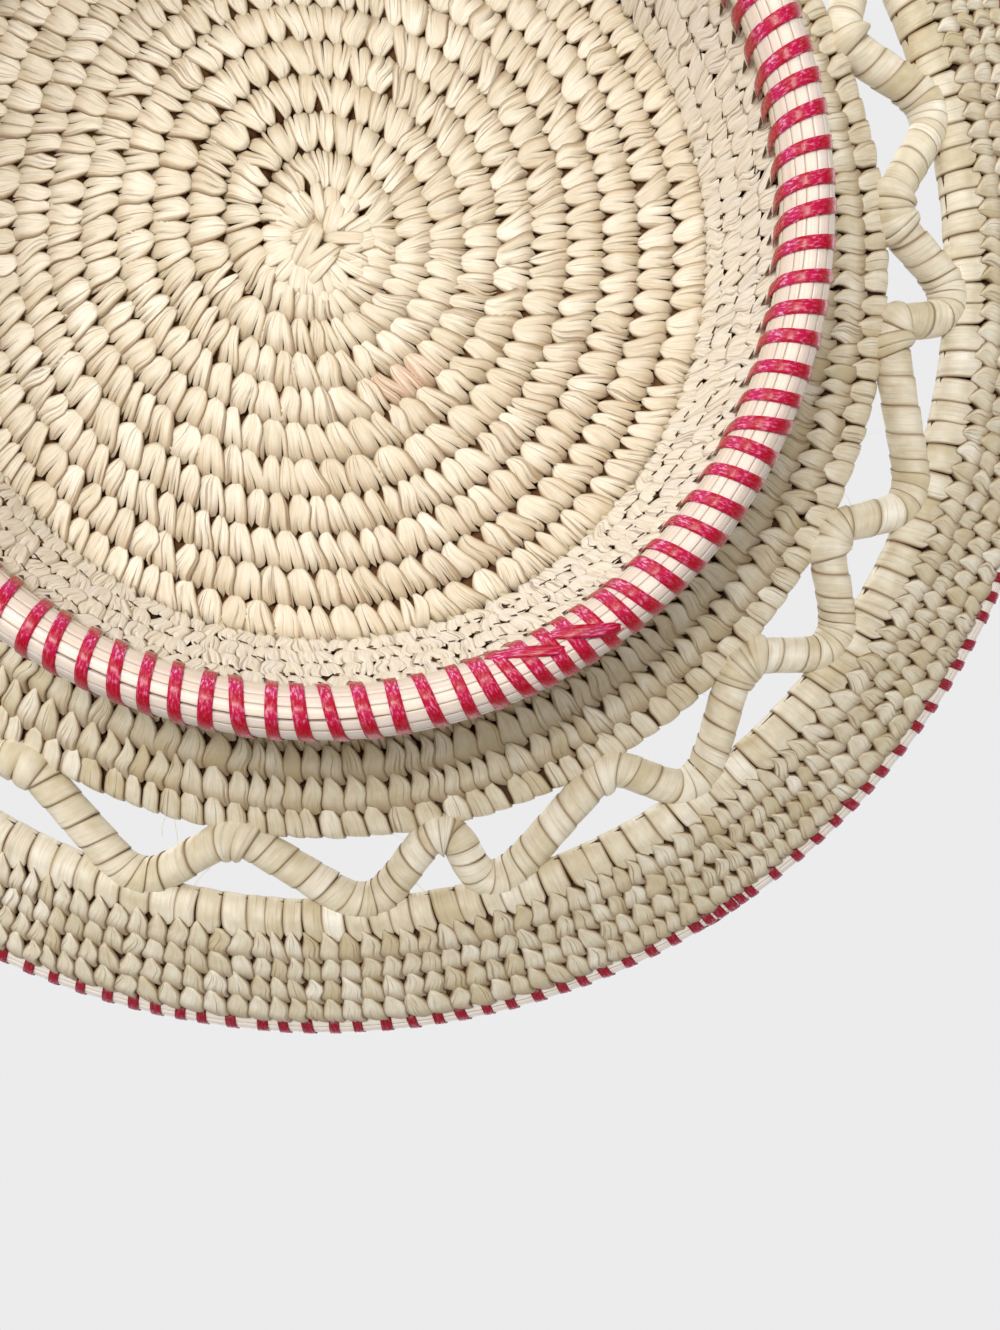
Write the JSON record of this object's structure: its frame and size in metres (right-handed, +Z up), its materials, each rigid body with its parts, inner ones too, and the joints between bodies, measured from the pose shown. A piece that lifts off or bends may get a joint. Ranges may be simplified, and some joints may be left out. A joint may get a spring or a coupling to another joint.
{
  "type": "pedestal basket",
  "caption": "Round coiled straw tray with a zigzag openwork ring and a raised rim, on a flared coiled foot; rim and foot are bound with red ribbon.",
  "frame": {"origin": "on the basket's axis, on the surface that the foot stands on", "axes": "+Z up along the basket's axis; the splice on the foot's bundle is about 60 degrees from +X towards +Y"},
  "size_m": [0.3286, 0.3286, 0.0706],
  "materials": {
    "base_straw": "flat leaf strip sewn over stems, warm straw colour, satin",
    "brim_straw": "flat leaf strip sewn over stems, greyer straw colour, satin",
    "foot_straw": "flat leaf strip sewn over stems, pale, satin",
    "bare_stems": "bundle of bare pale stems, satin",
    "red_ribbon": "crimson plastic ribbon, glossy"
  },
  "bodies": {
    "root": {"centre_knot": "base_straw", "base_coil": "base_straw", "brim_inner_coil": "brim_straw", "openwork_zigzag": "brim_straw", "brim_outer_coil": "brim_straw", "rim_bundle": "bare_stems", "rim_ribbon": "red_ribbon", "rim_splice": "red_ribbon", "foot_coil": "foot_straw", "foot_rim_bundle": "bare_stems", "foot_rim_ribbon": "red_ribbon", "foot_rim_splice": "red_ribbon"}
  },
  "joints": []
}
